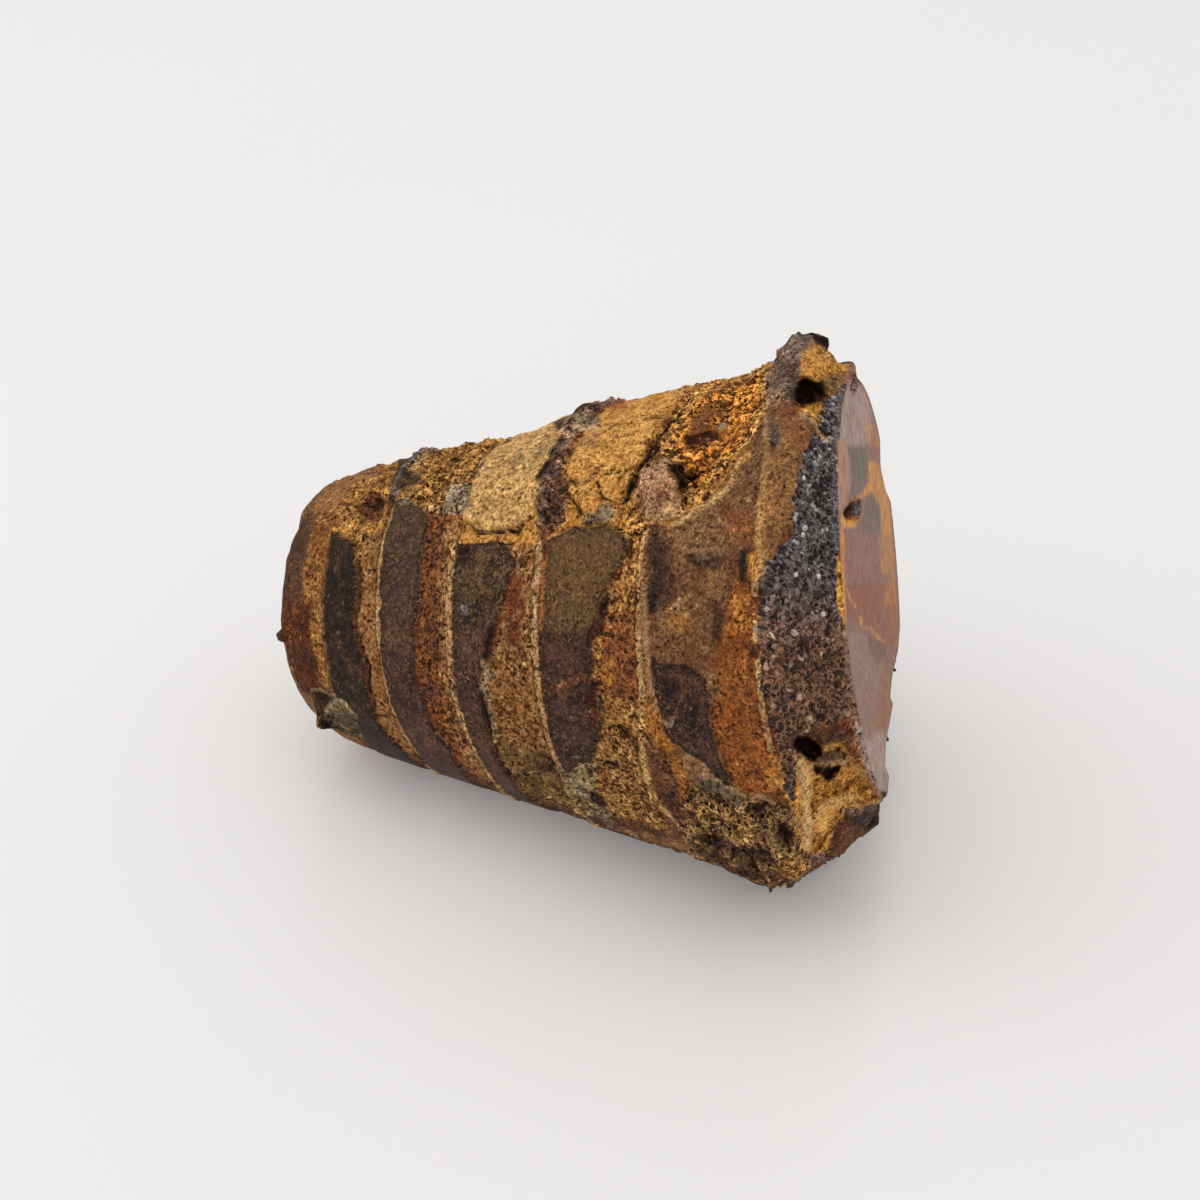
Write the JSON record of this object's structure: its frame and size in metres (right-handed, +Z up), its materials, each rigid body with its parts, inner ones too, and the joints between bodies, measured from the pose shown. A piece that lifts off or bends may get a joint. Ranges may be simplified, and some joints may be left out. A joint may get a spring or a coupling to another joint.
{
  "type": "fossil nautiloid",
  "caption": "Short tapering piece of a chambered fossil shell cone lying on its side, with banded chambers, crumbly crust, a domed narrow end and a sawn wide end.",
  "frame": {"origin": "under the middle of the bounding box, on the plane it rests on", "axes": "+X from the domed narrow end to the sawn wide end, +Z up, the cone lying on its side"},
  "size_m": [0.0338, 0.027, 0.0257],
  "materials": {
    "iron_stone": "weathered iron-rich stone, dull, with a sawn face that has a slight sheen"
  },
  "bodies": {
    "root": {"fossil_nautiloid": "iron_stone"}
  },
  "joints": []
}
